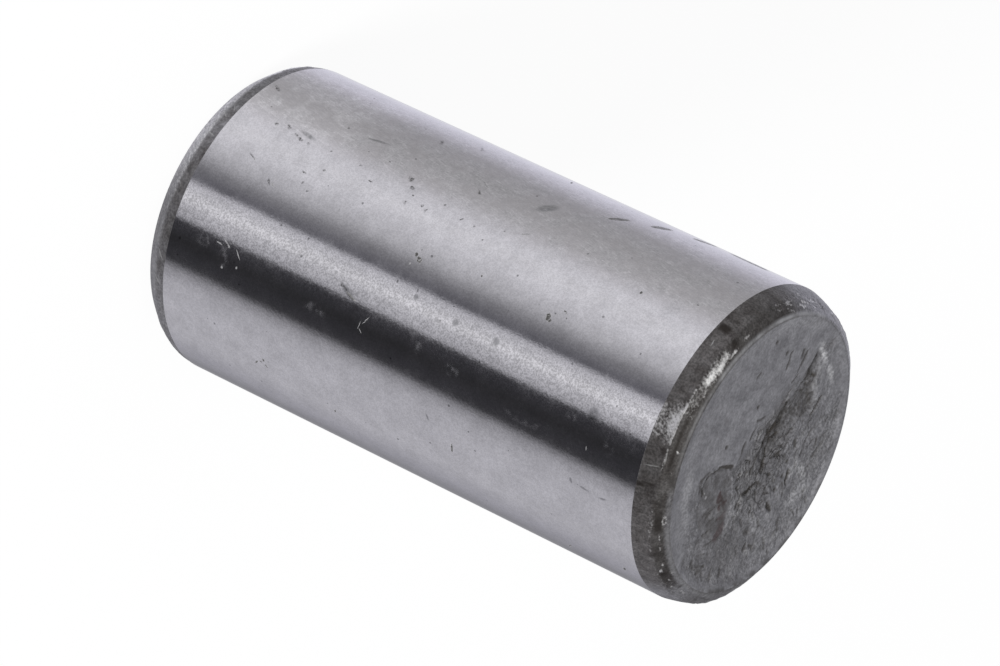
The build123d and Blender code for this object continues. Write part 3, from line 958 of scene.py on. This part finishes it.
# Finish of the end faces
# Grey steel as the shear and the die left it: matt, darker where it is torn, with dirt in the cracks,
# touches of rust and the high edges rubbed lighter, and painted shade in low places and painted highlights on
# high ones.
sheared_steel, tree, shader, where = new_finish("sheared_steel")
torn_share, dirt_and_shade_share, wear_and_highlight_share = skin_masks(tree, "torn", "filled", "worn")
rubbed_and_highlight_share, rust_share = skin_masks(tree, "rubbed", "rust")
bare_and_highlight = use(tree, flecks, {"Where": where, "Rubbed": rubbed_and_highlight_share})["Mask"]
mottle = noise(tree, where, 1.7, 8.0)
grit = noise(tree, where, 9.0, 4.0)
spots = place(tree, "ShaderNodeTexVoronoi", {"Vector": where, "Scale": 1.6}, voronoi_dimensions="2D")
spot_kind = place(tree, "ShaderNodeSeparateColor", {"Color": spots.outputs["Color"]}).outputs
spot_size = between(tree, spot_kind["Red"], 0.55, 1.0, 0.0, 0.11)
spot_reach = plus(tree, spots.outputs["Distance"], times(tree, grit, 0.06))
spot_share = reckon(tree, "LESS_THAN", spot_reach, spot_size)
tone = two_tones(tree, mottle, 0.3, (0.125, 0.124, 0.134), 0.7, (0.212, 0.211, 0.225))
colour = blend(tree, times(tree, torn_share, 0.35), tone, (0.11, 0.107, 0.108, 1))
# Painted glints and shade: where the face is torn, the grit swings the colour further, lighter on its tops
# and darker between them.
speck_and_shade_low = between(tree, torn_share, 0.0, 0.8, 0.8, 0.64)
speck_and_glint_high = between(tree, torn_share, 0.0, 0.8, 1.2, 1.36)
speck = between(tree, grit, 0.3, 0.7, speck_and_shade_low, speck_and_glint_high)
colour = blend(tree, 1.0, colour, mixed_colour(tree, speck, speck, speck), "MULTIPLY")
spot_tone = two_tones(tree, spot_kind["Green"], 0.4, (0.07, 0.067, 0.068), 0.6, (0.27, 0.268, 0.275))
colour = blend(tree, times(tree, spot_share, 0.5), colour, spot_tone)
rust_grain = plus(tree, rust_share, reckon(tree, "SUBTRACT", grit, 0.55))
rust_grain = times(tree, between(tree, rust_grain, -0.1, 0.9), between(tree, rust_share, 0.0, 0.9))
colour = blend(tree, rust_grain, colour, (0.042, 0.021, 0.022, 1))
strayed = reckon_vector(tree, "MULTIPLY", noise(tree, where, 3.0, 3.0, "Color"), (0.55,) * 3)
strayed = reckon_vector(tree, "ADD", where, strayed)
strayed = place(
    tree,
    "ShaderNodeMapping",
    {"Vector": strayed, "Rotation": (0, 0, math.radians(-12)), "Scale": (2.0, 0.8, 1.0)},
    vector_type="TEXTURE",
)
crazing = place(
    tree,
    "ShaderNodeTexVoronoi",
    {"Vector": strayed.outputs["Vector"], "Scale": 2.6},
    feature="DISTANCE_TO_EDGE",
    voronoi_dimensions="2D",
)
crevice = between(tree, crazing.outputs["Distance"], 0.09, 0.015)
crevice = times(tree, crevice, between(tree, torn_share, 0.5, 0.95))
crevice = times(tree, crevice, between(tree, noise(tree, where, 1.9, 3.0), 0.42, 0.58))
colour = blend(tree, times(tree, crevice, 0.75), colour, (0.035, 0.031, 0.028, 1))
# Dirt, and painted shade in the hollow and the low grain.
colour = blend(tree, dirt_and_shade_share, colour, (0.03, 0.026, 0.022, 1))
# Wear, and painted highlights on the walls, the low band and the tops of the grain.
wear_and_highlight_grain = times(tree, wear_and_highlight_share, between(tree, grit, 0.35, 0.62, 0.35, 1.1))
colour = blend(tree, wear_and_highlight_grain, colour, (0.44, 0.44, 0.45, 1))
colour = blend(tree, times(tree, bare_and_highlight, 0.75), colour, (0.5, 0.5, 0.51, 1))
metallic = between(tree, bare_and_highlight, 0.0, 1.0, 0.3, 0.8)
roughness = between(tree, torn_share, 0.0, 1.0, 0.42, 0.55)
level = times(tree, grit, between(tree, torn_share, 0.0, 0.8, 0.35, 1.2))
level = reckon(tree, "SUBTRACT", level, crevice)
connect(tree, shader, {"Base Color": colour, "Metallic": metallic, "Roughness": roughness})
connect(tree, shader, {"Normal": bumped(tree, level, 0.045)})

quad_row = np.repeat(np.arange(rows - 1), columns)
face_row = np.concatenate([quad_row, np.zeros(columns), np.full(columns, rows)])
finish = np.full(len(face_row), 1)
finish[(face_row >= first_shank_row) & (face_row < last_shank_row)] = 0
finish[(face_row < len(lower_rings)) | (face_row >= first_face_row)] = 2
for material in (ground_steel, die_scale, sheared_steel):
    pin_mesh.materials.append(material)
pin_mesh.polygons.foreach_set("material_index", finish.astype(np.int32))
pin_mesh.validate()
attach(pin, "root")
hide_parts("locking_pin")

# Floor
# A plain white sheet that the pin stands on. The metal does not mirror it, only the studio round it.
floor_half = 3.0  # metres
floor_mesh = bpy.data.meshes.new("floor")
floor_mesh.from_pydata(
    [(x * floor_half, y * floor_half, 0) for x, y in ((-1, -1), (1, -1), (1, 1), (-1, 1))],
    [],
    [(0, 1, 2, 3)],
)
floor = bpy.data.objects.new("floor", floor_mesh)
bpy.context.scene.collection.objects.link(floor)
floor_white = bpy.data.materials.new("floor_white")
floor_white.use_nodes = True
tree = floor_white.node_tree
tree.nodes.clear()
sheet = place(tree, "ShaderNodeBsdfDiffuse", {"Color": (0.95, 0.95, 0.95, 1)})
glow = place(tree, "ShaderNodeEmission", {"Color": (1, 1, 1, 1), "Strength": 1.0})
ray = place(tree, "ShaderNodeLightPath").outputs
white_share = times(tree, ray["Is Camera Ray"], 0.93)  # the rest keeps the shadow
lit_sheet = place(
    tree, "ShaderNodeMixShader", {0: white_share, 1: sheet.outputs["BSDF"], 2: glow.outputs["Emission"]}
)
place(tree, "ShaderNodeOutputMaterial", {"Surface": lit_sheet.outputs["Shader"]})
floor_mesh.materials.append(floor_white)
floor.visible_glossy = False
floor.visible_shadow = False

# Studio light
# A pale studio with a large soft box on the left and one above, dark gaps between them, and a soft lamp
# low at the right that rakes over the end face.
world = bpy.data.worlds.new("studio")
bpy.context.scene.world = world
world.use_nodes = True
tree = world.node_tree
tree.nodes.clear()
direction = place(tree, "ShaderNodeTexCoord").outputs["Generated"]
apart = place(tree, "ShaderNodeSeparateXYZ", {"Vector": direction}).outputs
heading = reckon(tree, "ARCTAN2", apart["Y"], apart["X"])
all_round = {"Value": heading, "From Min": -math.pi, "From Max": math.pi}
round_share = place(tree, "ShaderNodeMapRange", all_round).outputs[0]
panels = place(tree, "ShaderNodeValToRGB", {"Fac": round_share})
# An edge of a panel is its bearing in degrees, how bright it is and how blue.
panel_edges = [
    (-180, 0.55, 0.02), (-168, 0.62, 0.02), (-150, 0.9, 0.04), (-140, 0.96, 0.035), (-128, 0.88, 0.04),
    (-114, 0.63, 0.04), (-104, 0.3, 0.05), (-97, 0.19, 0.08), (-93.5, 0.16, 0.09), (-90.5, 0.7, 0.05),
    (-83, 0.8, 0.035), (-80, 0.95, 0.03), (-75, 0.7, 0.04), (-65.7, 0.5, 0.05), (-63.9, 0.08, 0.07),
    (-60, 0.056, 0.09), (-50, 0.036, 0.06), (-40, 0.05, 0.09), (-34, 0.06, 0.07), (-27, 0.42, 0.05),
    (-18, 0.6, 0.05), (0, 0.67, 0.05), (28, 0.64, 0.05), (50, 0.46, 0.07), (68, 0.3, 0.06),
    (78, 0.31, 0.04), (100, 0.8, 0.05), (114, 0.84, 0.085), (130, 0.74, 0.08), (150, 0.49, 0.04),
    (170, 0.5, 0.02), (180, 0.55, 0.02),
]
ramp = panels.color_ramp
while len(ramp.elements) < len(panel_edges):
    ramp.elements.new(0.5)
for element, (degrees, level, blue) in zip(ramp.elements, panel_edges):
    element.position = (degrees + 180) / 360
    element.color = (level * (1 - 0.45 * blue), level * (1 - 0.55 * blue), level * (1 + blue), 1)
dome_level = 0.42
overhead_level = 1.1
above = between(tree, apart["Z"], 0.1, 0.5)
overhead = between(tree, apart["Z"], 0.85, 0.95)
seen = blend(tree, above, panels.outputs["Color"], (dome_level, dome_level, dome_level * 1.03, 1))
seen = blend(tree, overhead, seen, (overhead_level, overhead_level, overhead_level, 1))
background = place(tree, "ShaderNodeBackground", {"Color": seen, "Strength": 1.0})
place(tree, "ShaderNodeOutputWorld", {"Surface": background.outputs["Background"]})

lamp_bearing = math.radians(-60)
lamp_elevation = math.radians(20)
lamp_away = 0.7
lamp_data = bpy.data.lights.new("raking_lamp", "AREA")
lamp_data.shape = "DISK"
lamp_data.size = 0.2
lamp_data.energy = 7.2
lamp = bpy.data.objects.new("raking_lamp", lamp_data)
lamp_direction = Vector(
    (
        math.cos(lamp_bearing) * math.cos(lamp_elevation),
        math.sin(lamp_bearing) * math.cos(lamp_elevation),
        math.sin(lamp_elevation),
    )
)
lamp_aim = lamp_direction.to_track_quat("Z", "Y").to_matrix().to_4x4()
lamp.matrix_world = Matrix.Translation(lamp_direction * lamp_away) @ lamp_aim
lamp.visible_glossy = False
bpy.context.scene.collection.objects.link(lamp)

# Camera
# It looks down on the upper end from the photograph's angle, turned so that the pin lies across the frame.
camera_place = (0.08, -186.8, 120.5)
camera_elevation = math.radians(30.143)
camera_roll = math.radians(90 + 25.515)
camera_data = bpy.data.cameras.new("camera")
camera_data.lens = 216.0
camera_data.sensor_width = 36.0
camera_data.clip_start = 0.01
camera = bpy.data.objects.new("camera", camera_data)
camera.matrix_world = (
    Matrix.Translation([length * MM for length in camera_place])
    @ Matrix.Rotation(math.pi / 2 - camera_elevation, 4, "X")
    @ Matrix.Rotation(camera_roll, 4, "Z")
)
bpy.context.scene.collection.objects.link(camera)
bpy.context.scene.camera = camera
bpy.context.scene.view_settings.view_transform = "Standard"
